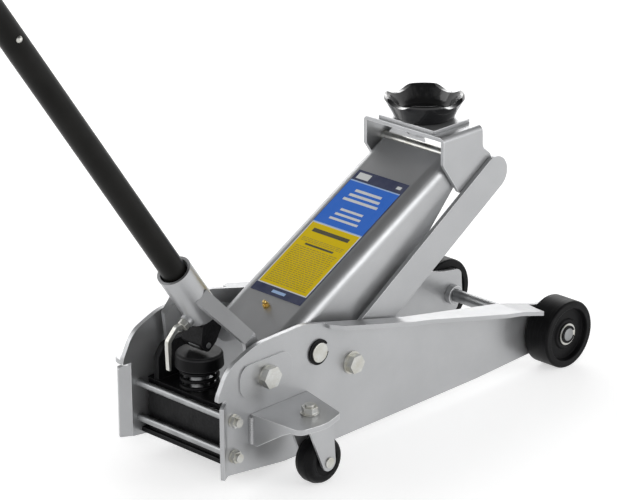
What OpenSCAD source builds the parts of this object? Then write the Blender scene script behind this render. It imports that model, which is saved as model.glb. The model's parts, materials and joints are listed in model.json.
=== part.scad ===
// Low trolley jack: steel side plates on wheels carry a hydraulic unit, a parallel-motion
// lift arm with a level saddle, and a pumping handle in a swinging socket.
// Axes: +X towards the fixed front wheels, +Z up, origin on the floor under the middle of
// the overall box. Profiles are drawn in X and Z from the front axle line, then shifted.

/* [Lift arm] */
// Outside width of the lift arm channel
arm_w = 102; // [90:1:120]
// Distance between the two pivots of the lift arm
arm_len = 268; // [225:1:322]
// Angle of the lift arm above level in this pose
arm_rest = 32; // [20:0.5:45]
// Wall of the lift arm channel
arm_t = 4; // [3:0.5:5]
// Radius of the lift arm shaft
shaft_r = 10.5; // [8.5:0.25:12.6]
// Radius of the pin between lift arm and head
head_pin_r = 6; // [5:0.25:7.2]
// Radius of the crank from lift shaft to crank pin
crank_r = 46; // [40:1:50]
// Radius of the crank pin
crank_pin_r = 6; // [5:0.25:7]

/* [Chassis] */
// Front axle line to the rear edge of the side plates
plate_back = 490; // [480:1:520]
// Thickness of the side plates
plate_t = 5; // [4:0.5:6]
// Height of the lower edge of the side plates
plate_low = 11; // [9:0.5:16]
// Height of the lift shaft
lift_z = 115; // [110:1:120]
// Front axle line back to the lift shaft
lift_back = 351; // [340:1:360]
// Width of the outward flange behind the front wheels
flange_w = 30; // [24:1:31]
// Radius of the rear tie rods between the side plates
rod_r = 4; // [3.5:0.25:5]

/* [Wheels] */
// Diameter of the front wheels
wheel_d = 75; // [70:1:80]
// Width of the front wheels
wheel_w = 31.8; // [28:0.2:36]
// Radius of the front axle
axle_r = 7; // [6:0.25:8.5]
// Diameter of the caster wheels
caster_d = 50; // [46:1:52]
// Width of the caster wheels
caster_w = 24; // [20:0.5:25]
// Radius of the caster kingpins
kingpin_r = 5; // [4:0.25:6]

/* [Handle] */
// Outside diameter of the handle tube
handle_d = 26; // [22:0.5:31]
// Wall of the handle tubes
handle_t = 2; // [1.5:0.25:3]
// Distance of the handle's end from the socket pivot
handle_reach = 873; // [700:1:1050]
// Angle of the handle above level in this pose
handle_rest = 55.5; // [45:0.5:65]
// Radius of the socket pivot bolts
socket_bolt_r = 6; // [5:0.25:7.2]

/* [Hydraulics] */
// Bore radius of the lifting cylinder
bore_r = 14; // [12:0.5:15]
// Radius of the ram
ram_r = 9; // [8:0.25:11]
// Radius of the pump plunger
plunger_r = 6; // [5:0.25:7.2]

/* [Hidden] */
$fn = 64;

fit = 0.06;            // radial clearance of a running fit
seat = 0.03;           // radial clearance of parts that are fixed together
gap = 0.3;             // clearance between faces that move past each other
eps = 0.01;

// Stack across the jack, from the middle outwards
arm_half = arm_w / 2;
arm_in = arm_half - arm_t;
ear_t = 4.5;
ear_in = arm_half + 1.5;
ear_out = ear_in + ear_t;
link_t = 4.6;
link_in = ear_out + 0.6;
link_out = link_in + link_t;
plate_in = link_out + 3.8;
plate_out = plate_in + plate_t;
wheel_in = plate_out + 2.2;
wheel_out = wheel_in + wheel_w;

// Pivots in the side view
lift = [-lift_back, lift_z];
link_step = [48, -26];
link_low = lift + link_step;
head = lift + arm_len * [cos(arm_rest), sin(arm_rest)];
link_high = head + link_step;
axle_z = wheel_d / 2;
socket = [-lift_back - 74, 113];

// Side plate profile
plate_rear = -plate_back;
flare_from = plate_rear + 11;
flare_top = 102;
flare_a = 30;
flare_len = 13;
rod_x = flare_from + 9.5;
rod_zs = [78, 40];
rod_end_r = rod_r - 1;
flange_t = 4.5;
flange_start = flange_w / 5;
flange_mid = flange_w * 0.45;
pad = [36, 17];        // half length and half height of the pad under the pivot bolt
pad_t = 1.8;

// Front wheels
rim_depth = 4;
rim_r = 28;
tyre_r = 2.5;
hub_washer_t = 1.6;
hub_face = wheel_out - rim_depth + gap;
clip_t = 1.4;
axle_half = wheel_out - 0.4;
spacer_r = 12;

// Casters
caster_x = -404;
caster_y = plate_out + 40.5;
trail = 11.5;
bracket_top = 77.4;
bracket_t = 3;
skirt_drop = 33;
lip = 6;
fork_top = 71;
fork_t = 3;
fork_in = caster_w / 2 + 0.7;
fork_out = fork_in + fork_t;
fork_half = 17;
fork_end_r = 9;
caster_axle_r = 4;
tread_r = 7;

// Lift arm, in its own frame along the pivot line
arm_top = 26.9;        // upper face above the lift shaft, square to that face
arm_taper = 3.8;       // upper face against the pivot line
arm_bend = 14;
arm_end_r = 15;
arm_rear = 26;
web_end = arm_len - 9;
label_from = 26.5;
label_len = 182.8;
label_half = 35.5;
label_t = 0.6;
sleeve_r = shaft_r + 2.2;
cheek_in = 14;
cheek_t = 6;
crank_a = 7.5;         // crank ahead of straight down
crank = lift + crank_r * [sin(crank_a), -cos(crank_a)];

// Head
saddle_x = head[0] + 4.7;
head_rear = saddle_x - 32;
head_front = saddle_x + 28;
head_z = head[1] + 29;
ear_bend = 5.5;
ear_lobe_r = 17;
skin = 1;               // metal left over the blind pivot holes
saddle_plate_t = 4;
saddle_z = head_z + saddle_plate_t;
saddle_h = 24;
saddle_base_r = 32;
saddle_rim_r = 42.5;
saddle_stem_r = 10;
dip = 4.5;              // depth of the hollows between the raised corners of the rim
dip_r = 32;
stem_len = 19;
ring_h = 9;
link_half = 18.5;
link_bolt_r = 6;
head_pin_link_r = 8;

// Hydraulic unit
base_z = 23;
base_t = 5;
block = [-464, -424];
block_half = 60;
wing = [44, 51];        // inner and outer faces of the raised sides of the block
wing_top = 122;
block_top = 84;
ram_z = 50;
cylinder_r = bore_r + 6;
cylinder_x = [-462, -391];
gland_t = 6;
piston_t = 8;
piston_x = -418;
yoke_half = 12.5;
yoke_slot = crank_pin_r + 1.3;
yoke_wall = 6;
pump_x = -447;
cap_top = 124.7;
cap_t = 3;
cap_r = 24;
cap_drop = 15;
barrel_top = 101.5;
plunger_low = 93;
plunger_bottom = 73.5;
spring_wire_r = 2;
spring_r = 18.5;
spring_turns = 4.5;
valve_x = -433;
valve_y = 33;

// Handle socket, in its own frame: s along the handle, t square to it
tube_t = 15.6;
tube_r = handle_d / 2 + 5;
tube_in = handle_d / 2 + fit;
mouth = 12;            // wider mouth of the socket tube above its guiding bore
tube_from = 52;
screw_s = 61;
tube_to = 118;
ear_half = ear_out + 3.5;
ear_plate_t = 4.5;
ear_end_r = 14;
roller_r = 7;
roller_at = [-447 - socket[0], 134.2 - socket[1]];
roller_half = 8;
fork_half_y = 14;
roller_pin_r = 3;
roller_local = [roller_at[0] * sin(handle_rest) + roller_at[1] * cos(handle_rest),
    -roller_at[0] * cos(handle_rest) + roller_at[1] * sin(handle_rest)];
handle_from = tube_from + 2;
seam = 430;
swage_r = handle_d / 2 - handle_t - 0.1;
swage_to = 492;
button_s = 460.7;
button_r = 3.5;
grip_from = handle_reach - 118;
grip_r = handle_d / 2 + 3.5;

// Shift that puts the origin under the middle of the overall box
reach_back = -socket[0] + handle_reach * cos(handle_rest) - (tube_t - grip_r) * sin(handle_rest);
frame_x = (reach_back - wheel_d / 2) / 2;

silver = "silver";
black = [0.1, 0.1, 0.11];
zinc = [0.78, 0.78, 0.7];
steel = [0.6, 0.62, 0.64];

// ---- helpers ----

function unit(v) = v / norm(v);
function ring(list, i) = list[(i + len(list)) % len(list)];
function flat(p) = [p[0], p[1]];
// Points of the arc that rounds corner b, whose third number is its radius
function corner(a, b, c, n) =
    let (u = unit(flat(a) - flat(b)), w = unit(flat(c) - flat(b)), half = acos(u * w) / 2)
    let (ctr = flat(b) + unit(u + w) * b[2] / sin(half), d = b[2] / tan(half))
    let (p = flat(b) + u * d - ctr, q = flat(b) + w * d - ctr, from = atan2(p[1], p[0]))
    let (sweep = ((atan2(q[1], q[0]) - from + 540) % 360) - 180)
    b[2] == 0 ? [flat(b)]
    : [for (i = [0 : n]) ctr + b[2] * [cos(from + sweep * i / n), sin(from + sweep * i / n)]];
function rounded(pts, n = 6) =
    [for (i = [0 : len(pts) - 1]) each corner(ring(pts, i - 1), pts[i], ring(pts, i + 1), n)];

module at_frame() translate([frame_x, 0, 0]) children();
module mirrored() mirror([0, 1, 0]) children();
module both_sides() {
    children();
    mirrored() children();
}
// A side-view outline given thickness across the jack
module slab(lo, hi) translate([0, hi, 0]) rotate([90, 0, 0]) linear_extrude(hi - lo) children();
// A round bar across the jack
module cross(p, r, lo, hi) translate([p[0], hi, p[1]]) rotate([90, 0, 0]) cylinder(r = r, h = hi - lo);
module cross_tube(p, r, hole, lo, hi) difference() {
    cross(p, r, lo, hi);
    cross(p, hole, lo - 1, hi + 1);
}
module upright_tube(x, y, r, hole, lo, hi) translate([x, y, lo]) difference() {
    cylinder(r = r, h = hi - lo);
    translate([0, 0, -1]) cylinder(r = hole, h = hi - lo + 2);
}
// Flat bar with round ends between two points of the side view
module bar(p, q, rp, rq) {
    d = q - p;
    a = atan2(d[1], d[0]);
    lean = acos((rp - rq) / norm(d));
    near = [for (i = [0 : 24]) a + lean + (360 - 2 * lean) * i / 24];
    far = [for (i = [0 : 24]) a - lean + 2 * lean * i / 24];
    polygon(concat(
        [for (b = near) p + rp * [cos(b), sin(b)]],
        [for (b = far) q + rq * [cos(b), sin(b)]]));
}
// Inverted channel along X, top face at z = 0, with rounded shoulders
module channel(from, to, half, r, depth)
    translate([from, 0, 0]) rotate([90, 0, 90]) linear_extrude(to - from)
    polygon(rounded([[-half, 0, r], [-half, -depth, 0], [half, -depth, 0], [half, 0, r]], 10));
module hexagon(r, h) cylinder(r = r, h = h, $fn = 6);
// A hexagon head across the jack, its inner face at lo
module hex_head(p, r, lo, hi) translate([p[0], hi, p[1]]) rotate([90, 0, 0]) hexagon(r, hi - lo);
module coil(r, wire, turns, length) {
    steps = 20;
    sides = 8;
    rings = turns * steps;
    function at(i) = [r * cos(360 * i / steps), r * sin(360 * i / steps), length * i / rings];
    function rim(i, k) =
        let (out = unit([at(i)[0], at(i)[1], 0]), a = 360 * k / sides)
        at(i) + wire * (out * cos(a) + [0, 0, sin(a)]);
    points = [for (i = [0 : rings], k = [0 : sides - 1]) rim(i, k)];
    walls = [for (i = [0 : rings - 1], k = [0 : sides - 1])
        [i * sides + k, i * sides + (k + 1) % sides,
         (i + 1) * sides + (k + 1) % sides, (i + 1) * sides + k]];
    start = [for (k = [sides - 1 : -1 : 0]) k];
    end = [for (k = [0 : sides - 1]) rings * sides + k];
    polyhedron(points, concat([start, end], walls), convexity = 10);
}

// ---- chassis ----

module plate_outline() polygon(rounded([
    [flare_from, plate_low + 10, 0], [-400, plate_low, 90], [-110, plate_low, 90], [8, 15, 10],
    [18, 34, 14], [16, 63, 9], [-20, 69, 40], [-72, 84, 60], [-222, 113, 0],
    [-345, 143.8, 60], [-370, 150.2, 60], [-438, 148.5, 70], [-475, 134, 34],
    [plate_rear + 1, 108, 16], [plate_rear, flare_top, 2], [flare_from, flare_top, 0]]));

// Plan of the strip that bends outward at the rear edge
module flare_plan() {
    bend = [flare_from, plate_in + 0.8];
    out = flare_len * [-cos(flare_a), sin(flare_a)];
    thick = (plate_t - 0.5) * [sin(flare_a), cos(flare_a)];
    polygon([bend, bend + out, bend + out + thick, bend + thick, bend + [3, 2], bend + [3, 0]]);
}

module flange_plan() polygon(rounded([
    [-340, -1, 0], [-340, flange_start, 4], [-326, flange_mid, 12], [-200, flange_mid, 40],
    [-96, flange_w, 40], [-36, flange_w, 4], [-34, flange_w * 0.55, 14], [-29, 1, 0], [-29, -1, 0]]));

module side_plate() {
    difference() {
        union() {
            difference() {
                slab(plate_in, plate_out + flange_w) plate_outline();
                slab(plate_out, plate_out + flange_w + 1) translate([0, -flange_t]) plate_outline();
                translate([0, plate_out, 0]) linear_extrude(lift_z * 2) difference() {
                    translate([plate_rear - 10, 0]) square([plate_back + wheel_d, flange_w + 1]);
                    flange_plan();
                }
            }
            intersection() {
                linear_extrude(lift_z) flare_plan();
                slab(plate_in, plate_out + flare_len) polygon(rounded([[flare_from + 5, plate_low + 10, 0],
                    [flare_from - flare_len, plate_low + 10, 3], [flare_from - flare_len, flare_top - 3, 9],
                    [flare_from + 5, flare_top - 3, 0]]));
            }
            slab(plate_out - eps, plate_out + pad_t) translate([socket[0], socket[1] + 1])
                polygon(rounded([[-pad[0], -pad[1], 12], [pad[0], -pad[1], 14],
                    [pad[0], pad[1], 15], [-pad[0], pad[1], 13]]));
        }
        for (z = rod_zs) cross([rod_x, z], rod_end_r + seat, plate_in - 1, plate_out + 1);
        cross([0, axle_z], axle_r + seat, plate_in - 1, plate_out + 1);
        cross(lift, shaft_r + seat, plate_in - 1, plate_out + 1);
        cross(link_low, link_bolt_r + seat, plate_in - 1, plate_out + 1);
        cross(socket, socket_bolt_r + seat, plate_in - 1, plate_out + pad_t + 1);
    }
}
module side_plate_left() at_frame() color(silver) side_plate();
module side_plate_right() at_frame() color(silver) mirrored() side_plate();

module base_plate() at_frame() color(black)
    translate([block[0] - 3, -plate_in, base_z]) cube([76, 2 * plate_in, base_t]);

module rear_tie_rods() at_frame() color(steel) for (z = rod_zs) {
    cross([rod_x, z], rod_r, -plate_in, plate_in);
    cross([rod_x, z], rod_end_r, -plate_out - 8, plate_out + 8);
}

module tie_rod_nuts() at_frame() color(zinc) both_sides() for (z = rod_zs) difference() {
    union() {
        cross([rod_x, z], rod_end_r + 4, plate_out, plate_out + 1.2);
        hex_head([rod_x, z], rod_end_r + 3.7, plate_out + 1.2, plate_out + 6);
        cross([rod_x, z], rod_end_r + 1.6, plate_out + 6, plate_out + 9.5);
    }
    cross([rod_x, z], rod_end_r + seat, plate_out - 1, plate_out + 8.2);
}

module front_axle() at_frame() color(steel)
    cross([0, axle_z], axle_r, -axle_half, axle_half);

module axle_collars() at_frame() color(silver) both_sides()
    cross_tube([0, axle_z], axle_r + 4, axle_r + seat, plate_in - 7, plate_in);

module axle_washers() at_frame() color(zinc) both_sides() {
    cross_tube([0, axle_z], spacer_r, axle_r + seat, plate_out, wheel_in - gap);
    cross_tube([0, axle_z], spacer_r, axle_r + seat, hub_face, hub_face + hub_washer_t);
}

// Open rings that hold the washers on the axle and close the ends of the lift shaft
module circlips() at_frame() color(black) both_sides() {
    difference() {
        cross_tube([0, axle_z], axle_r + 2.8, axle_r + seat,
            hub_face + hub_washer_t, hub_face + hub_washer_t + clip_t);
        translate([0, hub_face, axle_z - 3]) cube([20, 8, 6]);
    }
    difference() {
        cross_tube(lift, shaft_r + 3, shaft_r + seat, plate_out + 0.4, plate_out + 2.2);
        translate([lift[0], plate_out, lift[1] - 5]) rotate([0, -10, 0]) cube([20, 6, 9]);
    }
}

module front_wheel() translate([0, wheel_in, axle_z]) rotate([-90, 0, 0]) rotate_extrude($fn = 96)
    polygon(concat(
        [[axle_r + fit, 0], [spacer_r + 3, 0], [spacer_r + 4, rim_depth],
            [rim_r, rim_depth], [rim_r + 1.5, 0]],
        [for (a = [-90 : 18 : 0]) [wheel_d / 2 - tyre_r + tyre_r * cos(a), tyre_r + tyre_r * sin(a)]],
        [for (a = [0 : 18 : 90])
            [wheel_d / 2 - tyre_r + tyre_r * cos(a), wheel_w - tyre_r + tyre_r * sin(a)]],
        [[rim_r + 1.5, wheel_w], [rim_r, wheel_w - rim_depth - 2], [spacer_r + 5, wheel_w - rim_depth - 2],
         [spacer_r + 4, wheel_w - rim_depth], [axle_r + fit, wheel_w - rim_depth]]));
module front_wheel_left() at_frame() color(black) front_wheel();
module front_wheel_right() at_frame() color(black) mirrored() front_wheel();

// ---- casters ----

module bracket_plan(inset) polygon(rounded([
    [-446 + inset, -1, 0], [-442 + inset, 64 - inset, 10 - inset], [-411, 70 - inset, 40],
    [-382 - inset, 62 - inset, 7 - inset], [-366 - inset, -1, 0]]));

module caster_bracket() difference() {
    translate([0, plate_out, 0]) union() {
        intersection() {
            translate([0, 0, bracket_top - bracket_t]) linear_extrude(bracket_t) bracket_plan(0);
            translate([-500, 0, 0]) cube([200, 100, 100]);
        }
        intersection() {
            translate([0, 0, bracket_top - skirt_drop]) linear_extrude(skirt_drop) difference() {
                bracket_plan(0);
                bracket_plan(bracket_t);
                translate([-394, -10]) square([60, 58]);
            }
            translate([-500, 0, 0]) rotate([90, 0, 90]) linear_extrude(200) polygon([
                [0, bracket_top], [0, bracket_top - skirt_drop], [8, bracket_top - skirt_drop],
                [42, bracket_top - 11], [52, bracket_top - lip],
                [100, bracket_top - lip], [100, bracket_top]]);
        }
    }
    translate([caster_x, caster_y, bracket_top - 20]) cylinder(r = kingpin_r + seat, h = 40);
}
module caster_bracket_left() at_frame() color(silver) caster_bracket();
module caster_bracket_right() at_frame() color(silver) mirrored() caster_bracket();

module kingpins() at_frame() color(zinc) both_sides() translate([caster_x, caster_y, 0]) {
    translate([0, 0, fork_top - fork_t - gap - 4]) cylinder(r = kingpin_r + 3.5, h = 4);
    translate([0, 0, fork_top - fork_t - gap - 1]) cylinder(r = kingpin_r, h = 21);
}

module kingpin_nuts() at_frame() color(zinc) both_sides() translate([caster_x, caster_y, 0]) difference() {
    union() {
        translate([0, 0, bracket_top]) cylinder(r = kingpin_r + 4.5, h = 1.4);
        translate([0, 0, bracket_top + 1.4]) hexagon(kingpin_r + 3.6, 6.4);
    }
    translate([0, 0, bracket_top - 1]) cylinder(r = kingpin_r + seat, h = 20);
}

module swivel_washers() at_frame() color(zinc) both_sides()
    upright_tube(caster_x, caster_y, kingpin_r + 8, kingpin_r + seat,
        fork_top + gap, bracket_top - bracket_t);

module leg_outline() {
    polygon([[-fork_half, fork_top], [fork_half, fork_top],
        [trail + fork_end_r, caster_d / 2], [trail - fork_end_r, caster_d / 2 - 2]]);
    translate([trail, caster_d / 2]) circle(r = fork_end_r);
}

// Fork about its kingpin, wheel trailing towards +X
module caster_fork() difference() {
    union() {
        translate([-fork_half, -fork_out, fork_top - fork_t]) cube([2 * fork_half, 2 * fork_out, fork_t]);
        slab(fork_in, fork_out) leg_outline();
        slab(-fork_out, -fork_in) leg_outline();
    }
    cylinder(r = kingpin_r + fit, h = 100);
    cross([trail, caster_d / 2], caster_axle_r + seat, -fork_out - 1, fork_out + 1);
}
module caster_axle() {
    cross([trail, caster_d / 2], caster_axle_r, -fork_out - 0.5, fork_out + 0.5);
    cross([trail, caster_d / 2], caster_axle_r + 1.6, fork_out, fork_out + 1.8);
    cross([trail, caster_d / 2], caster_axle_r + 1.6, -fork_out - 1.8, -fork_out);
}
module caster_wheel() translate([trail, -caster_w / 2, caster_d / 2]) rotate([-90, 0, 0])
    rotate_extrude($fn = 96) polygon(concat(
        [[caster_axle_r + fit, 0], [8, 0], [9, 1.5], [14, 1.5], [15, 0]],
        [for (a = [-90 : 15 : -15])
            [caster_d / 2 - tread_r + (tread_r - 1) * cos(a), tread_r + tread_r * sin(a)]],
        [[caster_d / 2, tread_r + 1], [caster_d / 2, caster_w - tread_r - 1]],
        [for (a = [15 : 15 : 90])
            [caster_d / 2 - tread_r + (tread_r - 1) * cos(a), caster_w - tread_r + tread_r * sin(a)]],
        [[15, caster_w], [14, caster_w - 1.5], [9, caster_w - 1.5],
            [8, caster_w], [caster_axle_r + fit, caster_w]]));

module right_caster() translate([caster_x, -caster_y, 0]) children();
module left_caster() translate([caster_x, caster_y, 0]) rotate([0, 0, 180]) children();
module caster_fork_right() at_frame() color(silver) right_caster() caster_fork();
module caster_fork_left() at_frame() color(silver) left_caster() caster_fork();
module caster_axle_right() at_frame() color(zinc) right_caster() caster_axle();
module caster_axle_left() at_frame() color(zinc) left_caster() caster_axle();
module caster_wheel_right() at_frame() color(black) right_caster() caster_wheel();
module caster_wheel_left() at_frame() color(black) left_caster() caster_wheel();

// ---- pivots held by the side plates ----

module lift_shaft() at_frame() color(zinc) cross(lift, shaft_r, -plate_out - 4, plate_out + 4);

// Tubes between the moving arms and the side plates, on the lift shaft and the socket bolts
module pivot_spacers() at_frame() color(steel) both_sides() {
    cross_tube(lift, shaft_r + 4, shaft_r + seat, arm_half + gap, plate_in);
    cross_tube(socket, socket_bolt_r + 4, socket_bolt_r + seat, ear_half + gap, plate_in);
}

module link_bolts() at_frame() color(zinc) both_sides() {
    cross(link_low, link_bolt_r, link_in - 2, plate_out + 4);
    cross(link_low, link_bolt_r + 3, link_in - 2.4, link_in - gap);
    cross(link_low, link_bolt_r + 6, plate_out, plate_out + 2);
    hex_head(link_low, link_bolt_r + 4.4, plate_out + 2, plate_out + 9.5);
}

// ---- lift arm ----

module arm_frame() translate([lift[0], 0, lift[1]]) rotate([0, -arm_rest, 0]) children();
module arm_top_frame() arm_frame() rotate([0, arm_taper, 0]) translate([0, 0, arm_top]) children();

module arm_side() union() {
    polygon(rounded([[-arm_rear, 40, 0], [-arm_rear, -6, 16], [6, -30, 20], [70, -53, 60],
        [130, -53, 60], [arm_len - 16, -22, 20], [arm_len + arm_end_r, -2, 4], [arm_len + arm_end_r, 40, 0]]));
    translate([arm_len, 0]) circle(r = arm_end_r);
}

module lift_arm() at_frame() color(silver) difference() {
    intersection() {
        arm_frame() slab(-arm_half, arm_half) arm_side();
        arm_top_frame() channel(-60, arm_len + 40, arm_half, arm_bend, 120);
    }
    arm_top_frame() translate([0, 0, -arm_t]) channel(-90, arm_len + 60, arm_in, arm_bend - arm_t, 130);
    arm_top_frame() translate([web_end, -arm_in, -40]) cube([90, 2 * arm_in, 60]);
    cross(lift, shaft_r + fit, -arm_half - 1, arm_half + 1);
    cross(head, head_pin_r + seat, -arm_half - 1, arm_half + 1);
    arm_top_frame() translate([label_from - 14, 0, -arm_t - 1]) cylinder(r = 2.5 + seat, h = 10);
}

module shaft_sleeve() at_frame() color(silver)
    cross_tube(lift, sleeve_r, shaft_r + fit, -arm_in, arm_in);

module crank_cheeks() at_frame() color(silver) both_sides() difference() {
    slab(cheek_in, cheek_in + cheek_t) bar(lift, crank, sleeve_r + 4, crank_pin_r + 5);
    cross(lift, sleeve_r + seat, cheek_in - 1, cheek_in + cheek_t + 1);
    cross(crank, crank_pin_r + seat, cheek_in - 1, cheek_in + cheek_t + 1);
}

module crank_pin() at_frame() color(steel)
    cross(crank, crank_pin_r, -cheek_in - cheek_t - 1.5, cheek_in + cheek_t + 1.5);

module label_plate() at_frame() color("royalblue") arm_top_frame()
    translate([label_from, -label_half, 0]) cube([label_len, 2 * label_half, label_t]);

module grease_nipple() at_frame() color("gold") arm_top_frame() translate([label_from - 14, 0, -arm_t]) {
    cylinder(r = 2.5, h = arm_t + 1);
    translate([0, 0, arm_t]) hexagon(4, 3);
    translate([0, 0, arm_t + 3]) cylinder(r = 1.8, h = 2);
    translate([0, 0, arm_t + 6]) sphere(r = 2.3, $fn = 32);
}

module head_pin() at_frame() color(zinc)
    cross(head, head_pin_r, -ear_out + skin + gap, ear_out - skin - gap);

// ---- links and head ----

module link_bar() difference() {
    slab(link_in, link_out) bar(link_low, link_high, link_half, link_half);
    cross(link_low, link_bolt_r + fit, link_in - 1, link_out + 1);
    cross(link_high, head_pin_link_r + 0.4, link_in - 1, link_out - skin);
}
module link_left() at_frame() color(silver) link_bar();
module link_right() at_frame() color(silver) mirrored() link_bar();

module head_side() {
    polygon(rounded([[head_rear, head_z + 1, 0], [head_rear, head_z - 30, 4],
        [head[0] - 3, head[1] - 36, 7], [head[0] + 14, head[1] - 41, 9],
        [link_high[0] + 5, link_high[1] + ear_lobe_r - 1, 10],
        [head_front + 1, head_z - 24, 8], [head_front, head_z + 1, 0]]));
    translate(link_high) circle(r = ear_lobe_r);
}
module head_bracket() at_frame() color(silver) difference() {
    intersection() {
        slab(-ear_out, ear_out) head_side();
        translate([0, 0, head_z]) channel(head_rear - 10, head_front + 60, ear_out, ear_bend, 100);
    }
    translate([0, 0, head_z - ear_t]) channel(head_rear - 20, head_front + 70, ear_in, ear_bend - ear_t, 120);
    cross(head, head_pin_r + fit, -ear_out + skin, ear_out - skin);
    cross(link_high, head_pin_link_r + seat, -ear_out - 1, ear_out + 1);
    translate([saddle_x, 0, head_z - 20]) cylinder(r = saddle_stem_r + fit, h = 40);
}

module saddle_plate() at_frame() color(silver) difference() {
    translate([0, 0, head_z]) linear_extrude(saddle_plate_t) polygon(rounded([
        [saddle_x - 28.5, -40, 3], [saddle_x + 29, -40, 5], [saddle_x + 29, 40, 5], [saddle_x - 28.5, 40, 3]]));
    translate([saddle_x, 0, head_z - 1]) cylinder(r = saddle_stem_r + fit, h = saddle_plate_t + 2);
}

module link_head_pins() at_frame() color(silver) both_sides()
    cross(link_high, head_pin_link_r, ear_in, link_out - skin - gap);

module saddle() at_frame() color(black) translate([saddle_x, 0, saddle_z]) difference() {
    rotate_extrude($fn = 96) polygon([
        [0, -stem_len], [saddle_stem_r - 1, -stem_len], [saddle_stem_r, 1 - stem_len],
        [saddle_stem_r, gap], [saddle_base_r - 2, gap], [saddle_base_r, 2], [saddle_base_r + 3, 8],
        [saddle_rim_r, saddle_h - 3], [saddle_rim_r - 0.6, saddle_h - 1], [saddle_rim_r - 2.6, saddle_h],
        [saddle_rim_r - 5.4, saddle_h - 1.5], [saddle_base_r - 3, 10], [saddle_base_r - 7, 7], [0, 7]]);
    for (a = [0 : 90 : 270]) rotate([0, 0, a]) translate([24, 0, saddle_h + dip_r - dip]) rotate([0, 95, 0])
        cylinder(r = dip_r, h = 40);
}

module saddle_ring() at_frame() color(steel)
    upright_tube(saddle_x, 0, saddle_stem_r + 3.5, saddle_stem_r + seat,
        head_z - ear_t - ring_h, head_z - ear_t - gap);

// ---- hydraulic unit ----

module pump_block() at_frame() color(black) difference() {
    union() {
        translate([0, 0, base_z + base_t]) linear_extrude(block_top - base_z - base_t) polygon(rounded([
            [block[0], -block_half, 4], [block[1], -block_half, 4],
            [block[1], block_half, 4], [block[0], block_half, 4]]));
        both_sides() slab(wing[0], wing[1]) polygon(rounded([
            [block[0] + 2, block_top - 2, 0], [block[1] - 2, block_top - 2, 0],
            [block[1] + 12, wing_top - 12, 8],
            [block[1] + 8, wing_top, 6], [block[0] + 12, wing_top, 12], [block[0] + 2, wing_top - 14, 6]]));
    }
    translate([cylinder_x[0], 0, ram_z]) rotate([0, 90, 0]) cylinder(r = cylinder_r + seat, h = 60);
    translate([pump_x, 0, plunger_bottom]) cylinder(r = plunger_r + fit, h = 40);
    translate([valve_x, valve_y, block_top - 18]) cylinder(r = 5 + fit, h = 40);
    translate([pump_x, -valve_y, block_top - 6]) cylinder(r = 4 + seat, h = 20);
}

module along_x(r, from, to) translate([from, 0, ram_z]) rotate([0, 90, 0]) cylinder(r = r, h = to - from);

module lift_cylinder() at_frame() color(black) difference() {
    along_x(cylinder_r, cylinder_x[0], cylinder_x[1]);
    along_x(bore_r, cylinder_x[0] + 3, cylinder_x[1] + 1);
}

module cylinder_gland() at_frame() color(steel) difference() {
    along_x(bore_r - seat, cylinder_x[1] - gland_t, cylinder_x[1]);
    along_x(ram_r + fit, cylinder_x[1] - gland_t - 1, cylinder_x[1] + 1);
}

yoke_x = [crank[0] - yoke_slot - yoke_wall, crank[0] + yoke_slot + yoke_wall];
slot_top = lift[1] - crank_r * cos(34) + crank_pin_r + 1.5;
slot_low = lift[1] - crank_r - crank_pin_r - 1.5;

module ram() at_frame() color(steel) union() {
    along_x(bore_r - fit, piston_x - piston_t, piston_x);
    along_x(ram_r, piston_x - 1, yoke_x[0]);
}

module ram_yoke() at_frame() color(black) difference() {
    slab(-yoke_half, yoke_half) polygon(rounded([
        [yoke_x[0], ram_z - ram_r - 2, 4], [yoke_x[1], ram_z - ram_r - 2, 4],
        [yoke_x[1], slot_top + yoke_wall, 4], [yoke_x[0], slot_top + yoke_wall, 4]]));
    slab(-yoke_half - 1, yoke_half + 1) polygon([
        [yoke_x[0] + yoke_wall, slot_low], [yoke_x[1] - yoke_wall, slot_low],
        [yoke_x[1] - yoke_wall, slot_top], [yoke_x[0] + yoke_wall, slot_top]]);
}

module pump_barrel() at_frame() color(steel)
    upright_tube(pump_x, 0, plunger_r + 4, plunger_r + fit, block_top, barrel_top);

module pump_plunger() at_frame() color(steel)
    translate([pump_x, 0, plunger_low]) cylinder(r = plunger_r, h = cap_top - cap_t - plunger_low);

module spring_cap() at_frame() color(black) translate([pump_x, 0, cap_top - cap_drop])
    rotate_extrude() polygon([
        [0, cap_drop], [cap_r - 2, cap_drop], [cap_r, cap_drop - 2], [cap_r + 0.8, 0], [cap_r - 1.4, 0],
        [cap_r - 2.2, cap_drop - cap_t], [0, cap_drop - cap_t]]);

module pump_spring() at_frame() color(black)
    translate([pump_x, 0, block_top + spring_wire_r + 0.1])
    coil(spring_r, spring_wire_r, spring_turns, cap_top - cap_t - block_top - 2 * spring_wire_r - 0.2);

module filler_plug() at_frame() color(steel) translate([pump_x, -valve_y, block_top]) {
    translate([0, 0, -6]) cylinder(r = 4, h = 8);
    hexagon(7, 4);
}

module release_valve() at_frame() color(steel) translate([valve_x, valve_y, block_top]) {
    translate([0, 0, -18]) cylinder(r = 5, h = 30);
    translate([0, 0, gap]) cylinder(r = 8, h = 4);
    translate([-9, -2.5, 8]) cube([18, 5, 6]);
}

// ---- handle socket ----

// Frame along the handle: local X is t, square to the handle, and local Z is s along it
module socket_frame() translate([socket[0], 0, socket[1]]) rotate([0, handle_rest - 90, 0]) children();

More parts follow.
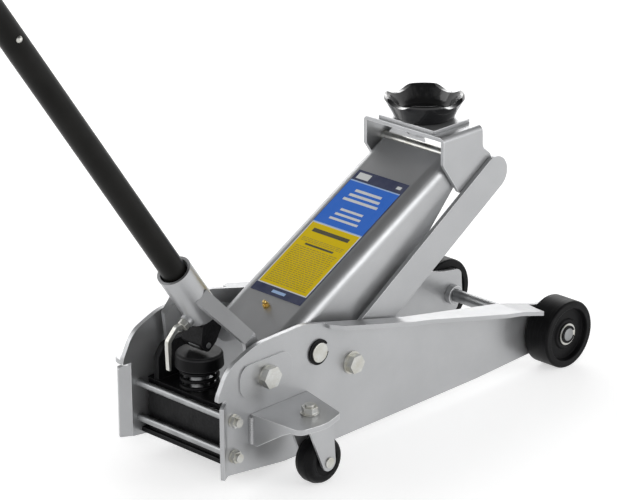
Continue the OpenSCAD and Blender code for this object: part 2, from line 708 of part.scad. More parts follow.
module ear_profile() {
    circle(r = ear_end_r);
    polygon(rounded([[-ear_end_r, 0, 0], [6, 38, 10], [8, 84, 0],
        [25, 84, 0], [21, 36, 10], [ear_end_r, 0, 0]]));
}
module strap_profile() polygon([
    [ear_half, -ear_end_r], [ear_half, 38], [tube_r - 2, 86], [tube_r - 3.4, 86], [tube_r - 3.4, 78],
    [ear_half - ear_plate_t, 35.5], [ear_half - ear_plate_t, -ear_end_r]]);

module handle_socket() at_frame() color(silver) socket_frame() difference() {
    union() {
        translate([tube_t, 0, tube_from]) cylinder(r = tube_r, h = tube_to - tube_from);
        both_sides() intersection() {
            slab(0, ear_half) ear_profile();
            translate([-40, 0, 0]) rotate([90, 0, 90]) linear_extrude(100) strap_profile();
        }
        translate([tube_t - tube_r - 3, 0, screw_s]) rotate([0, 90, 0]) cylinder(r = 7, h = 8);
    }
    translate([tube_t, 0, tube_from - 40]) cylinder(r = tube_in, h = tube_to - tube_from + 50);
    translate([tube_t, 0, tube_to - mouth]) cylinder(r = tube_in + 2, h = mouth + 1);
    cross([0, 0], socket_bolt_r + fit, -ear_half - 1, ear_half + 1);
    translate([-10, 0, screw_s]) rotate([0, 90, 0]) cylinder(r = 3 + seat, h = 20);
}

// Casting welded under the tube, forked round the pump roller
module roller_bracket() at_frame() color(black) socket_frame() difference() {
    slab(-fork_half_y, fork_half_y) polygon(rounded([
        [roller_local[0] - 6, roller_local[1] - 6, 5], [roller_local[0] + 9, roller_local[1] - 5, 6],
        [tube_t + 14, tube_from - 14, 8], [tube_t + tube_r - 4, tube_from, 2],
        [tube_t - tube_r + 2, tube_from, 2],
        [roller_local[0] - 7, roller_local[1] + 8, 6]]));
    cross(roller_local, roller_r + 1.5, -roller_half - 0.5, roller_half + 0.5);
    slab(-roller_half - 0.5, roller_half + 0.5) polygon([
        roller_local + [-20, 0], roller_local + [-20, -20], roller_local + [8.5, -20], roller_local + [8.5, 0]]);
    cross(roller_local, roller_pin_r + seat, -fork_half_y - 1, fork_half_y + 1);
}

module socket_pivot_bolts() at_frame() color(zinc) both_sides() {
    cross(socket, socket_bolt_r, ear_half - ear_plate_t - 3, plate_out + 5);
    cross(socket, socket_bolt_r + 5, plate_out + pad_t, plate_out + pad_t + 2);
    hex_head(socket, socket_bolt_r + 6, plate_out + pad_t + 2, plate_out + pad_t + 10);
    cross(socket, socket_bolt_r + 4, ear_half - ear_plate_t - 3.5, ear_half - ear_plate_t - gap);
}

module pump_roller() at_frame() color(steel) socket_frame()
    cross_tube(roller_local, roller_r, roller_pin_r + fit, -roller_half, roller_half);

module roller_pin() at_frame() color(steel) socket_frame()
    cross(roller_local, roller_pin_r, -fork_half_y - 0.5, fork_half_y + 0.5);

// Clamping screw with a bent tommy bar that hangs down behind the socket
module lock_screw() at_frame() color(zinc) socket_frame() translate([tube_t - tube_r - 3, 0, screw_s]) {
    translate([-6, 0, 0]) rotate([0, 90, 0]) cylinder(r = 3, h = 3 + 6 + tube_r - handle_d / 2 - gap);
    translate([-6, 0, 0]) rotate([0, 90, 0]) hexagon(6.2, 6);
    translate([-4, 0, 0]) rotate([0, 90 - handle_rest, 0]) slab(-2.4, 2.4) polygon(rounded([
        [2, 2.4, 0], [-11, 2.4, 4], [-23.7, -10.3, 6], [-23.7, -20, 0], [-22.7, -42, 1.2],
        [-19.9, -42, 1.2], [-18.9, -20, 0], [-18.9, -12.3, 4], [-9, -2.4, 3], [2, -2.4, 0]]));
}

module handle_tube(from, to, r, hole) translate([tube_t, 0, from]) difference() {
    cylinder(r = r, h = to - from);
    translate([0, 0, -1]) cylinder(r = hole, h = to - from + 2);
}

module handle_lower() at_frame() color(black) socket_frame() difference() {
    union() {
        handle_tube(handle_from, seam, handle_d / 2, handle_d / 2 - handle_t);
        handle_tube(seam - 8, seam, handle_d / 2, swage_r - handle_t);
        handle_tube(seam - 8, swage_to, swage_r, swage_r - handle_t);
    }
    cross([tube_t, button_s], button_r + fit, -handle_d, 0);
}

module handle_upper() at_frame() color(black) socket_frame() difference() {
    handle_tube(seam, handle_reach - 4, handle_d / 2, handle_d / 2 - handle_t);
    cross([tube_t, button_s], button_r + fit, -handle_d, 0);
}

module handle_grip() at_frame() color(black) socket_frame() difference() {
    translate([tube_t, 0, grip_from]) cylinder(r = grip_r, h = handle_reach - grip_from);
    translate([tube_t, 0, grip_from - 1]) cylinder(r = handle_d / 2 + seat, h = handle_reach - grip_from - 3);
}

module handle_button() at_frame() color(zinc) socket_frame() {
    cross([tube_t, button_s], button_r, -handle_d / 2 + 1, -handle_d / 2 + 6);
    translate([tube_t, -handle_d / 2 + 1, button_s]) sphere(r = button_r);
}

side_plate_right();
side_plate_left();
base_plate();
rear_tie_rods();
tie_rod_nuts();
front_axle();
axle_collars();
axle_washers();
circlips();
front_wheel_right();
front_wheel_left();
caster_bracket_right();
caster_bracket_left();
kingpins();
kingpin_nuts();
swivel_washers();
caster_fork_right();
caster_fork_left();
caster_axle_right();
caster_axle_left();
caster_wheel_right();
caster_wheel_left();
lift_shaft();
pivot_spacers();
link_bolts();
lift_arm();
shaft_sleeve();
crank_cheeks();
crank_pin();
label_plate();
grease_nipple();
head_pin();
link_right();
link_left();
head_bracket();
saddle_plate();
link_head_pins();
saddle();
saddle_ring();
pump_block();
lift_cylinder();
cylinder_gland();
ram();
ram_yoke();
pump_barrel();
pump_plunger();
spring_cap();
pump_spring();
filler_plug();
release_valve();
handle_socket();
roller_bracket();
socket_pivot_bolts();
pump_roller();
roller_pin();
lock_screw();
handle_lower();
handle_upper();
handle_grip();
handle_button();
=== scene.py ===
"""Trolley jack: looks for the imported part.

Every CAD node but the grip is shown as a detailed copy of its own mesh, with rounded edges, smooth
shading and a procedural finish. The grip is turned anew with its ribs. A collar under the head plate,
two weld beads and the label's print are added on top.
"""
import json
import math

import bmesh
import bpy
from mathutils import Matrix, Vector

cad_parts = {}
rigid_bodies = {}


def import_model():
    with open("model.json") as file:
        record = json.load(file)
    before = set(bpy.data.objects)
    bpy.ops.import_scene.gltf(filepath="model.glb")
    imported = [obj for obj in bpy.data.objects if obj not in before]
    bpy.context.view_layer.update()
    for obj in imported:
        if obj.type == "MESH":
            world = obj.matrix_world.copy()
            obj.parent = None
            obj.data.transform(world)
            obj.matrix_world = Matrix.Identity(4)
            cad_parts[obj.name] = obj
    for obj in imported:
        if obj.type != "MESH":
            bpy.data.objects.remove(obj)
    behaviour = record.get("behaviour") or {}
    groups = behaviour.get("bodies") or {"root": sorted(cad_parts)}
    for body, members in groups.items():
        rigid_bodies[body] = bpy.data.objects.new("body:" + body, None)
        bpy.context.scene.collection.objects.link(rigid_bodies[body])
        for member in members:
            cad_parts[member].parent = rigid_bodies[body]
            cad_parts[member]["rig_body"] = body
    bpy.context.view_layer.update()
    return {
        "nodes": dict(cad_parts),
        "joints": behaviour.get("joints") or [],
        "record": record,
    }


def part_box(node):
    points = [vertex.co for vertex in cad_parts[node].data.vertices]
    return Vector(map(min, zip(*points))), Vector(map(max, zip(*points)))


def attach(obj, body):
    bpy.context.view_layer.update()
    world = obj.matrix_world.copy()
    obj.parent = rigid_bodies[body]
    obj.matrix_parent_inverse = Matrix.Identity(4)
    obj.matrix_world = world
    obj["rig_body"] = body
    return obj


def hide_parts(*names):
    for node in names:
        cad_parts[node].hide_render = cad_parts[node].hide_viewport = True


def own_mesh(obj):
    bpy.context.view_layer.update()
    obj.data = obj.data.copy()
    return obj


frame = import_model()
MM = 0.001
NODES = frame["nodes"]
BODY_OF = {n: o["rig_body"] for n, o in NODES.items()}
SLOT_OF = {s["node"]: s["material_slot"] for s in frame["record"]["subparts"]}

# ---------------------------------------------------------------- places taken from the frame


def centre(node):
    """Middle of a node's box."""
    lo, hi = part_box(node)
    return (lo + hi) / 2


JOINTS = {j["name"]: j for j in frame["joints"]}
P_LIFT = Vector(JOINTS["lift_arm_pivot"]["pos_m"])
P_HEAD = Vector(JOINTS["head_level"]["pos_m"])
ARM_ANGLE = math.atan2(P_HEAD.z - P_LIFT.z, P_HEAD.x - P_LIFT.x)
HANDLE_DIR = Vector(JOINTS["handle_twist"]["axis"]).normalized()
ACROSS = Vector((0, 1, 0))

# ---------------------------------------------------------------- node helpers


class Tree:
    """A material's node tree with short ways to add and join nodes."""

    def __init__(self, name):
        self.mat = bpy.data.materials.new(name)
        self.mat.use_nodes = True
        self.nodes = self.mat.node_tree.nodes
        self.links = self.mat.node_tree.links
        self.bsdf = self.nodes["Principled BSDF"]
        self.coord = self.nodes.new("ShaderNodeTexCoord").outputs["Object"]

    def put(self, socket, value):
        if isinstance(value, bpy.types.NodeSocket):
            self.links.new(value, socket)
        else:
            socket.default_value = value

    def noise(self, scale, detail=4.0, rough=0.55, vector=None):
        n = self.nodes.new("ShaderNodeTexNoise")
        n.inputs["Scale"].default_value = scale
        n.inputs["Detail"].default_value = detail
        n.inputs["Roughness"].default_value = rough
        self.links.new(vector or self.coord, n.inputs["Vector"])
        return n.outputs["Fac"]

    def voronoi(self, scale):
        n = self.nodes.new("ShaderNodeTexVoronoi")
        n.inputs["Scale"].default_value = scale
        self.links.new(self.coord, n.inputs["Vector"])
        return n.outputs["Distance"]

    def stretch(self, scale):
        n = self.nodes.new("ShaderNodeMapping")
        n.inputs["Scale"].default_value = scale
        self.links.new(self.coord, n.inputs["Vector"])
        return n.outputs["Vector"]

    def ramp(self, fac, *stops):
        """stops are (place, grey)."""
        n = self.nodes.new("ShaderNodeValToRGB")
        e = n.color_ramp.elements
        while len(e) < len(stops):
            e.new(0.5)
        for el, (place, grey) in zip(e, stops):
            el.position = place
            el.color = (grey, grey, grey, 1)
        self.links.new(fac, n.inputs["Fac"])
        return n.outputs["Color"]

    def math(self, op, a, b):
        n = self.nodes.new("ShaderNodeMath")
        n.operation = op
        self.put(n.inputs[0], a)
        self.put(n.inputs[1], b)
        return n.outputs[0]

    def mix(self, fac, a, b):
        n = self.nodes.new("ShaderNodeMix")
        n.data_type = "RGBA"
        self.put(n.inputs["Factor"], fac)
        for name, v in (("A", a), ("B", b)):
            socket = [s for s in n.inputs if s.name == name and s.type == "RGBA"][0]
            self.put(socket, v if isinstance(v, bpy.types.NodeSocket) else (*v, 1))
        return [s for s in n.outputs if s.type == "RGBA"][0]

    def bump(self, height, strength, distance):
        n = self.nodes.new("ShaderNodeBump")
        n.inputs["Strength"].default_value = strength
        n.inputs["Distance"].default_value = distance
        self.links.new(height, n.inputs["Height"])
        return n.outputs["Normal"]

    def surface(self, color, rough, metallic=0.0, normal=None, coat=0.0, coat_rough=0.1, specular=0.5):
        if not isinstance(color, bpy.types.NodeSocket):
            color = (*color, 1)
        self.put(self.bsdf.inputs["Base Color"], color)
        self.put(self.bsdf.inputs["Roughness"], rough)
        self.put(self.bsdf.inputs["Metallic"], metallic)
        self.bsdf.inputs["Coat Weight"].default_value = coat
        self.bsdf.inputs["Coat Roughness"].default_value = coat_rough
        self.bsdf.inputs["IOR"].default_value = 1.5
        self.bsdf.inputs["Specular IOR Level"].default_value = specular
        if normal is not None:
            self.links.new(normal, self.bsdf.inputs["Normal"])
        return self.mat


# ---------------------------------------------------------------- materials


def silver_paint(name, worn=False):
    """Metallic silver-grey paint: fine flake and faint orange peel; lighter where edges are rubbed."""
    t = Tree(name)
    flake = t.voronoi(5200)
    cloud = t.noise(9, 5, 0.6)
    low, high = (0.375, 0.38, 0.388), (0.435, 0.44, 0.448)
    if worn:
        low, high = (0.58, 0.585, 0.59), (0.68, 0.685, 0.69)
    base = t.mix(t.ramp(cloud, (0.3, 0.0), (0.7, 1.0)), low, high)
    base = t.mix(t.ramp(flake, (0.0, 0.22), (0.5, 0.0)), base, (0.66, 0.665, 0.68))
    rough = t.ramp(t.noise(60, 4), (0.3, 0.30), (0.7, 0.39))
    bump = t.bump(t.math("ADD", t.noise(420, 2, 0.5), t.math("MULTIPLY", flake, 0.2)), 0.07, 0.0003)
    return t.surface(base, rough, 0.75, bump, coat=0.15, coat_rough=0.2)


def zinc():
    """Bright zinc plating with a faint warm bloom and turning marks."""
    t = Tree("zinc")
    fine = t.noise(900, 3)
    bloom = t.ramp(t.noise(90, 4, 0.6), (0.35, 0.0), (0.65, 1.0))
    base = t.mix(bloom, (0.50, 0.49, 0.44), (0.60, 0.605, 0.59))
    return t.surface(base, t.ramp(fine, (0.3, 0.26), (0.7, 0.40)), 1.0, t.bump(fine, 0.12, 0.0003))


def steel():
    """Plain turned steel, dulled, with fine rings along its length and a few stains."""
    t = Tree("steel")
    rings = t.noise(1.0, 3, 0.6, vector=t.stretch((300, 2600, 300)))
    stain = t.noise(70, 4)
    base = t.mix(t.ramp(stain, (0.35, 0.0), (0.7, 1.0)), (0.25, 0.255, 0.26), (0.38, 0.385, 0.39))
    return t.surface(base, t.ramp(stain, (0.3, 0.28), (0.7, 0.45)), 1.0, t.bump(rings, 0.1, 0.0002))


def black_metal(name, worn=False):
    """Black painted steel, satin, with a thin film of dust."""
    t = Tree(name)
    dust = t.noise(40, 6, 0.65)
    low, high = (0.004, 0.004, 0.0045), (0.011, 0.011, 0.012)
    if worn:
        low, high = (0.022, 0.022, 0.023), (0.06, 0.06, 0.062)
    base = t.mix(t.ramp(dust, (0.45, 0.0), (0.85, 1.0)), low, high)
    rough = t.ramp(dust, (0.3, 0.34), (0.8, 0.55))
    return t.surface(base, rough, 0.0, t.bump(t.noise(500, 3), 0.1, 0.0004), specular=0.1)


def cast_black(name, worn=False):
    """Black painted casting: lumpy sand-cast skin under paint."""
    t = Tree(name)
    skin = t.noise(330, 6, 0.7)
    low, high = (0.003, 0.003, 0.0035), (0.010, 0.010, 0.011)
    if worn:
        low, high = (0.018, 0.018, 0.019), (0.04, 0.04, 0.041)
    base = t.mix(t.ramp(skin, (0.4, 0.0), (0.75, 1.0)), low, high)
    rough = t.ramp(t.noise(90, 4), (0.3, 0.28), (0.7, 0.48))
    return t.surface(base, rough, 0.0, t.bump(skin, 0.5, 0.0008), specular=0.14)


def wheel_black():
    """Moulded black wheel: satin skin with fine scuffs round the tread."""
    t = Tree("wheel_black")
    scuff = t.noise(1.0, 5, 0.65, vector=t.stretch((60, 700, 60)))
    base = t.mix(t.ramp(scuff, (0.5, 0.0), (0.8, 1.0)), (0.004, 0.004, 0.0045), (0.016, 0.016, 0.017))
    rough = t.ramp(scuff, (0.35, 0.36), (0.75, 0.55))
    return t.surface(base, rough, 0.0, t.bump(t.noise(700, 3), 0.15, 0.0003), specular=0.1)


def saddle_black():
    """Thick gloss black paint over a rough casting."""
    t = Tree("saddle_black")
    rough = t.ramp(t.noise(80, 3), (0.3, 0.12), (0.7, 0.26))
    base = t.mix(t.noise(60, 4), (0.004, 0.004, 0.0045), (0.010, 0.010, 0.011))
    skin_bump = t.bump(t.noise(150, 4, 0.6), 0.3, 0.0007)
    return t.surface(base, rough, 0.0, skin_bump, coat=0.5, coat_rough=0.06, specular=0.3)


def handle_dark():
    """Charcoal powder coat on tube."""
    t = Tree("handle_dark")
    soft = t.noise(22, 5, 0.6)
    base = t.mix(t.ramp(soft, (0.35, 0.0), (0.7, 1.0)), (0.0045, 0.0043, 0.0038), (0.009, 0.0088, 0.008))
    rough = t.ramp(soft, (0.3, 0.28), (0.7, 0.40))
    return t.surface(base, rough, 0.0, t.bump(t.noise(650, 4, 0.6), 0.15, 0.0003), specular=0.1)


def grip_rubber():
    """Rubber sleeve; its ribs are geometry, the grain is bump."""
    t = Tree("grip_rubber")
    grain = t.noise(900, 3)
    base = t.mix(t.ramp(t.noise(30, 5), (0.4, 0.0), (0.8, 1.0)), (0.006, 0.006, 0.006), (0.014, 0.014, 0.014))
    return t.surface(base, t.ramp(grain, (0.3, 0.6), (0.7, 0.8)), 0.0, t.bump(grain, 0.3, 0.0004))


def brass():
    """Turned brass, slightly dulled."""
    t = Tree("brass")
    base = t.mix(t.noise(200, 4), (0.60, 0.40, 0.10), (0.80, 0.58, 0.22))
    rough = t.ramp(t.noise(300, 3), (0.3, 0.22), (0.7, 0.4))
    return t.surface(base, rough, 1.0, t.bump(t.noise(800, 2), 0.1, 0.0003))


def printed(name, color, speck=0.08):
    """Printed vinyl of one ink: slight unevenness, glossy laminate."""
    t = Tree(name)
    lighter = tuple(c + (1 - c) * speck for c in color)
    darker = tuple(c * (1 - speck) for c in color)
    base = t.mix(t.noise(70, 5), darker, lighter)
    rough = t.ramp(t.noise(50, 4), (0.3, 0.36), (0.7, 0.48))
    return t.surface(base, rough, 0.0, t.bump(t.noise(300, 2), 0.04, 0.0003), specular=0.1)


FINISH = {
    "silver_paint": silver_paint("silver_paint"),
    "zinc": zinc(),
    "steel": steel(),
    "black_metal": black_metal("black_metal"),
    "cast_black": cast_black("cast_black"),
    "black_spring": black_metal("black_spring"),
    "wheel_black": wheel_black(),
    "saddle_black": saddle_black(),
    "handle_dark": handle_dark(),
    "grip_rubber": grip_rubber(),
    "brass": brass(),
    "label": printed("label_edge", (0.03, 0.04, 0.11)),
}
# Rubbed edges show a lighter shade of the same finish
EDGE = {
    "silver_paint": silver_paint("silver_paint_edge", True),
    "black_metal": black_metal("black_metal_edge", True),
    "cast_black": cast_black("cast_black_edge", True),
}
INK = {
    "navy": printed("label_navy", (0.022, 0.030, 0.085)),
    "blue": printed("label_blue", (0.028, 0.16, 0.66), 0.03),
    "yellow": printed("label_yellow", (0.74, 0.54, 0.0), 0.01),
    "pale": printed("label_pale", (0.70, 0.72, 0.72)),
    "dark": printed("label_dark", (0.06, 0.055, 0.02)),
    "soft_dark": printed("label_soft_dark", (0.42, 0.29, 0.004)),
    "sky": printed("label_sky", (0.36, 0.52, 0.80)),
}

# ---------------------------------------------------------------- pieces

WELD = 2e-6  # vertices closer than this, in metres, become one
FLAT = math.radians(0.6)  # faces that meet at less than this become one


def add(obj, body):
    """Gives a finished piece its body."""
    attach(obj, body)


def new_object(name, mesh):
    obj = bpy.data.objects.new(name, mesh)
    bpy.context.scene.collection.objects.link(obj)
    return obj


def new_piece(name, bm):
    """Turns a finished bmesh into an object, with its faces outward."""
    bmesh.ops.recalc_face_normals(bm, faces=bm.faces)
    mesh = bpy.data.meshes.new(name)
    bm.to_mesh(mesh)
    bm.free()
    return new_object(name, mesh)


def bake_modifiers(obj):
    dg = bpy.context.evaluated_depsgraph_get()
    mesh = bpy.data.meshes.new_from_object(
        obj.evaluated_get(dg), preserve_all_data_layers=True, depsgraph=dg)
    obj.modifiers.clear()
    obj.data = mesh


def rounded(obj, width, slot, segments=2, angle=32):
    """Rounds the sharp edges of a piece, in their worn finish, and shades it smoothly."""
    obj.data.materials.clear()
    obj.data.materials.append(FINISH[slot])
    obj.data.materials.append(EDGE.get(slot, FINISH[slot]))
    obj.data.shade_smooth()
    bevel = obj.modifiers.new("round", "BEVEL")
    bevel.width = width
    bevel.segments = segments
    bevel.limit_method = "ANGLE"
    bevel.angle_limit = math.radians(angle)
    bevel.material = 1 if slot in EDGE else -1
    bevel.use_clamp_overlap = True
    bevel.miter_outer = "MITER_ARC"
    normals = obj.modifiers.new("normals", "WEIGHTED_NORMAL")
    normals.keep_sharp = True
    bake_modifiers(obj)


def clean_copy(node):
    """A tidy copy of a CAD node's mesh: one vertex per corner and flat faces joined up."""
    name = node + "_look"
    mesh = NODES[node].data.copy()
    mesh.name = name
    obj = new_object(name, mesh)
    bm = bmesh.new()
    bm.from_mesh(mesh)
    bmesh.ops.remove_doubles(bm, verts=bm.verts, dist=WELD)
    bmesh.ops.dissolve_degenerate(bm, dist=WELD, edges=bm.edges)
    bmesh.ops.dissolve_limit(bm, angle_limit=FLAT, verts=bm.verts, edges=bm.edges)
    bm.to_mesh(mesh)
    bm.free()
    return obj


def detail(node, width, segments=2):
    """Shows a CAD node as a copy with edges rounded over width millimetres, in its own finish."""
    obj = clean_copy(node)
    rounded(obj, width * MM, SLOT_OF[node], segments)
    add(obj, BODY_OF[node])
    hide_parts(node)


# How far the edges of each node are rounded, in millimetres
ROUNDING = {
    "side_plate_right": 0.9, "side_plate_left": 0.9, "base_plate": 0.6, "rear_tie_rods": 0.5,
    "tie_rod_nuts": 0.5, "front_axle": 0.6, "axle_collars": 0.8, "axle_washers": 0.3, "circlips": 0.25,
    "front_wheel_right": 0.7, "front_wheel_left": 0.7,
    "caster_bracket_right": 1.4, "caster_bracket_left": 1.4,
    "kingpins": 0.4, "kingpin_nuts": 0.5, "swivel_washers": 0.4, "caster_fork_right": 0.7,
    "caster_fork_left": 0.7, "caster_axle_right": 0.6, "caster_axle_left": 0.6, "caster_wheel_right": 0.5,
    "caster_wheel_left": 0.5, "lift_shaft": 0.8, "pivot_spacers": 0.4, "link_bolts": 0.7, "lift_arm": 0.9,
    "shaft_sleeve": 0.5, "crank_cheeks": 0.6, "crank_pin": 0.5, "grease_nipple": 0.2, "head_pin": 0.8,
    "link_right": 0.8, "link_left": 0.8, "head_bracket": 0.8, "saddle_plate": 0.8, "link_head_pins": 0.5,
    "saddle_ring": 0.3, "pump_block": 2.0, "lift_cylinder": 1.0, "cylinder_gland": 0.4, "ram": 0.5,
    "ram_yoke": 1.2, "pump_barrel": 0.8, "pump_plunger": 0.6, "spring_cap": 1.0, "filler_plug": 0.5,
    "release_valve": 0.5, "handle_socket": 0.8, "socket_pivot_bolts": 0.7, "pump_roller": 0.6,
    "roller_pin": 0.4, "roller_bracket": 1.6, "lock_screw": 1.0,
    "handle_lower": 0.4, "handle_upper": 0.4, "handle_button": 0.3,
}
for cad_node, edge in ROUNDING.items():
    detail(cad_node, edge)
detail("saddle", 1.2, 3)
detail("label_plate", 0.2)

# The pump spring shortens with the plunger in the jack; here it is a rounded copy with a mesh of its own
spring = clean_copy("pump_spring")
rounded(spring, 0.1 * MM, "black_spring")
add(spring, BODY_OF["pump_spring"])
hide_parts("pump_spring")
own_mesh(spring)

# ---------------------------------------------------------------- shapes made here

SIDES = 64  # of a turned piece
BOX_FACES = ((0, 1, 3, 2), (4, 6, 7, 5), (0, 4, 5, 1), (2, 3, 7, 6), (0, 2, 6, 4), (1, 5, 7, 3))


def skin(bm, a, b):
    """Quads between two closed loops with the same number of vertices."""
    count = len(a)
    for k in range(count):
        bm.faces.new((a[k], a[(k + 1) % count], b[(k + 1) % count], b[k]))


def turned(name, outline, place, axis, sides=SIDES):
    """Piece turned from (distance along axis, radius) points about an axis; both ends lie on the axis."""
    axis = axis.normalized()
    u = axis.orthogonal().normalized()
    v = axis.cross(u)
    bm = bmesh.new()
    start, *middle, end = outline
    rings = [[
        bm.verts.new(place + axis * along + (u * math.cos(a) + v * math.sin(a)) * radius)
        for a in (math.tau * k / sides for k in range(sides))] for along, radius in middle]
    for a, b in zip(rings, rings[1:]):
        skin(bm, a, b)
    for ring, (along, _) in ((rings[0], start), (rings[-1], end)):
        pole = bm.verts.new(place + axis * along)
        for k in range(sides):
            bm.faces.new((ring[(k + 1) % sides], ring[k], pole))
    return new_piece(name, bm)


def boxes(name, spans, origin, axes):
    """One mesh of small blocks, each (lo, hi) in the frame that origin and axes give."""
    along, across, up = axes
    bm = bmesh.new()
    for lo, hi in spans:
        corners = [
            bm.verts.new(origin + (along * x + across * y + up * z))
            for x in (lo[0], hi[0]) for y in (lo[1], hi[1]) for z in (lo[2], hi[2])]
        for face in BOX_FACES:
            bm.faces.new([corners[i] for i in face])
    return new_piece(name, bm)


# ---------------------------------------------------------------- grip, collar and welds


def grip():
    """Rubber sleeve with a flared collar, ribs round it and a domed end."""
    length, end_wall, bore = 118, 3, 13.05
    valley, crest = 15.0, 16.4
    first_rib, pitch, ribs = 11, 5.7, 17
    outer = [(0, valley), (0.8, 15.9), (6, 15.9), (6.8, 15.2), (9, valley)]
    for k in range(ribs):
        a = first_rib + k * pitch
        outer += [(a, valley), (a + 0.9, crest), (a + 3.3, crest), (a + 4.2, valley)]
    outer += [(109, valley), (110.2, crest), (114, crest), (116.4, 15.6), (117.6, 13.6), (length, 10)]
    inner_end = length - end_wall
    outline = [(inner_end, 0), (inner_end, bore), (0, bore)] + outer + [(length, 0)]
    axis = HANDLE_DIR if HANDLE_DIR.z > 0 else -HANDLE_DIR
    place = centre("handle_grip") - axis * length / 2 * MM
    obj = turned("grip_look", [(a * MM, r * MM) for a, r in outline], place, axis)
    rounded(obj, 0.25 * MM, "grip_rubber", 2, 20)
    add(obj, BODY_OF["handle_grip"])
    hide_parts("handle_grip")


def head_boss():
    """Welded collar under the saddle plate that the saddle's stem passes through."""
    ring = centre("saddle_ring")
    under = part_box("saddle_ring")[1].z
    height, bore, outer = 9.0, 14.2, 18.2
    rim = [(0.0, 18.0), (-0.6, outer), (0.6 - height, outer), (-height, 17.6), (-height, bore), (0.0, bore)]
    bm = bmesh.new()
    loops = [[
        bm.verts.new((ring.x + r * MM * math.cos(a), ring.y + r * MM * math.sin(a), under + z * MM))
        for a in (math.tau * k / SIDES for k in range(SIDES))] for z, r in rim]
    for i, loop in enumerate(loops):
        skin(bm, loop, loops[(i + 1) % len(loops)])
    obj = new_piece("head_boss", bm)
    rounded(obj, 0.3 * MM, "silver_paint")
    add(obj, BODY_OF["head_bracket"])


def bracket_weld(side, node):
    """Weld bead down the rear edge of a caster bracket, where it meets the side plate."""
    length, thick, ripple, step = 31, 3.0, 0.25, 0.75
    tip = 1.3
    outward = 1.2  # from the bracket's inner edge to the middle of the bead
    lo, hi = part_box(node)
    y = side * (min(abs(lo.y), abs(hi.y)) + outward * MM)
    outline = [(0, 0), (0.3, tip)]
    outline += [(1 + step * k, thick + ripple * math.sin(2.1 * k)) for k in range(39)]
    outline += [(length - 0.4, tip), (length, 0)]
    place = Vector((lo.x, y, hi.z - (length + 1) * MM))
    obj = turned(f"{node}_weld", [(a * MM, r * MM) for a, r in outline], place, Vector((0, 0, 1)), 20)
    rounded(obj, 0.05 * MM, "silver_paint")
    add(obj, BODY_OF[node])


grip()
head_boss()
bracket_weld(-1, "caster_bracket_right")
bracket_weld(1, "caster_bracket_left")

# ---------------------------------------------------------------- label print

TILT = ARM_ANGLE - math.radians(3.8)  # the arm's top leans this much from the line of its pivots
ALONG = Vector((math.cos(TILT), 0, math.sin(TILT)))
NORMAL = Vector((-math.sin(TILT), 0, math.cos(TILT)))
# In millimetres: the label's face over the lift shaft, its lower edge along the arm, half its width
LABEL_HEIGHT, LABEL_FROM, HALF = 27.5, 26.5, 35.5
LABEL_TOP = P_LIFT + NORMAL * LABEL_HEIGHT * MM
INK_THICK, INK_SINK = 0.05, 0.3  # each level of ink over the plate, and how deep a block starts in it


def print_layer(ink, spans, level):
    """Blocks of one ink: (along from, to, across from, to) in millimetres from the label's lower edge.

    Across runs from the reader's left (0) to right (1)."""
    thick = INK_THICK * level
    solid = []
    for a, b, left, right in spans:
        solid.append((
            ((LABEL_FROM + a) * MM, (HALF - 2 * HALF * right) * MM, -INK_SINK * MM),
            ((LABEL_FROM + b) * MM, (HALF - 2 * HALF * left) * MM, thick * MM)))
    obj = boxes(f"label_print_{ink}_{level}", solid, LABEL_TOP, (ALONG, ACROSS, NORMAL))
    obj.data.materials.append(INK[ink])
    add(obj, BODY_OF["label_plate"])


def text_like(a, b, left, right, rows, seed):
    """Rows of short dashes that stand in for print too small to read."""
    out = []
    step = (b - a) / rows
    row_fill, gap = 0.434, 0.014
    for r in range(rows):
        x = left
        k = 0
        while x < right - 0.02:
            w = 0.03 + 0.05 * ((seed * 7 + r * 13 + k * 29) % 11) / 10
            out.append((a + step * r, a + step * (r + row_fill), x, min(x + w, right)))
            x += w + gap
            k += 1
    return out


print_layer("navy", [(0.4, 10.9, 0.01, 0.99), (168, 182.4, 0.01, 0.99)], 1)
print_layer("pale", [(10.9, 102.6, 0.01, 0.99)], 1)
print_layer("blue", [(102.6, 168, 0.01, 0.99)], 1)
print_layer("yellow", [(12.3, 101.6, 0.03, 0.97)], 2)
print_layer("soft_dark", text_like(16, 70, 0.09, 0.91, 21, 3) + text_like(76, 82, 0.09, 0.91, 3, 5), 3)
print_layer("dark", [(71.5, 74.0, 0.22, 0.78), (90, 95, 0.14, 0.86)], 3)
print_layer("sky", [(166.4, 168, 0.01, 0.99), (102.6, 103.8, 0.01, 0.99), (3.6, 7.2, 0.38, 0.64)], 2)
print_layer("pale", [(112 + 7 * k, 115 + 7 * k, 0.22 + 0.03 * k, 0.78 - 0.03 * k) for k in range(3)]
            + [(140 + 7 * k, 143.5 + 7 * k, 0.16 + 0.04 * k, 0.84 - 0.04 * k) for k in range(3)]
            + [(171, 179.5, 0.06, 0.30), (173, 177, 0.84, 0.93)], 2)

# ---------------------------------------------------------------- floor, light, camera


def floor():
    """White floor that glows a little, so that it stays white in the picture."""
    mesh = bpy.data.meshes.new("floor")
    half = 30
    corners = [(-half, -half, 0), (half, -half, 0), (half, half, 0), (-half, half, 0)]
    mesh.from_pydata(corners, [], [(0, 1, 2, 3)])
    obj = new_object("floor", mesh)
    t = Tree("floor_white")
    mesh.materials.append(t.surface((0.8, 0.8, 0.8), 0.8))
    t.bsdf.inputs["Emission Color"].default_value = (1, 1, 1, 1)
    t.bsdf.inputs["Emission Strength"].default_value = 0.55


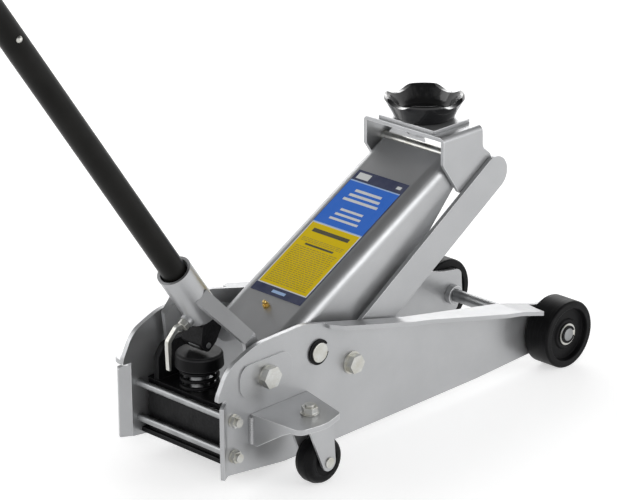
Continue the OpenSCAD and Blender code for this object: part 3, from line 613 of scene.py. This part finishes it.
def sky():
    """Bright round the horizon and dark overhead, like a white cove under a dark ceiling."""
    world = bpy.data.worlds.new("world")
    bpy.context.scene.world = world
    world.use_nodes = True
    nodes, links = world.node_tree.nodes, world.node_tree.links
    coord = nodes.new("ShaderNodeTexCoord")
    split = nodes.new("ShaderNodeSeparateXYZ")
    ramp = nodes.new("ShaderNodeValToRGB")
    for el, (place, grey) in zip(ramp.color_ramp.elements, ((0.50, 1.0), (0.78, 0.10))):
        el.position = place
        el.color = (grey, grey, grey, 1)
    links.new(coord.outputs["Generated"], split.inputs[0])
    links.new(split.outputs["Z"], ramp.inputs["Fac"])
    links.new(ramp.outputs["Color"], nodes["Background"].inputs["Color"])
    nodes["Background"].inputs["Strength"].default_value = 1.05


def area_light(name, place, target, size, power):
    data = bpy.data.lights.new(name, "AREA")
    data.shape = "RECTANGLE"
    data.size, data.size_y = size
    data.energy = power
    obj = bpy.data.objects.new(name, data)
    obj.location = place
    obj.rotation_mode = "QUATERNION"
    obj.rotation_quaternion = (Vector(target) - Vector(place)).to_track_quat("-Z", "Y")
    bpy.context.scene.collection.objects.link(obj)


floor()
sky()
area_light("left_back", (-1.6, 1.9, 1.6), (0, 0, 0.2), (1.6, 1.6), 14)
area_light("far_low", (2.3, 2.3, 1.25), (0, 0, 0.15), (2.4, 1.2), 26)
area_light("front_right", (1.2, -2.4, 0.9), (0.1, 0, 0.2), (1.8, 1.2), 16)

# The camera stands where the picture was taken from
CAM_PLACE = Vector((-1.97994, -2.1093, 1.3466))
CAM_YAW, CAM_PITCH, CAM_ROLL = (math.radians(a) for a in (44.727, 21.125, -0.334))
cam = bpy.data.cameras.new("camera")
cam.lens = 184.05
cam.sensor_width = 36
camera = bpy.data.objects.new("camera", cam)
bpy.context.scene.collection.objects.link(camera)
look = Vector((
    math.cos(CAM_PITCH) * math.cos(CAM_YAW),
    math.cos(CAM_PITCH) * math.sin(CAM_YAW),
    -math.sin(CAM_PITCH)))
level_right = Vector((math.sin(CAM_YAW), -math.cos(CAM_YAW), 0))
level_up = level_right.cross(look)
right = math.cos(CAM_ROLL) * level_right + math.sin(CAM_ROLL) * level_up
up = right.cross(look)
camera.matrix_world = Matrix.Translation(CAM_PLACE) @ Matrix((right, up, -look)).transposed().to_4x4()
cam.clip_start, cam.clip_end = 0.1, 100
bpy.context.scene.camera = camera
bpy.context.scene.view_settings.view_transform = "Standard"
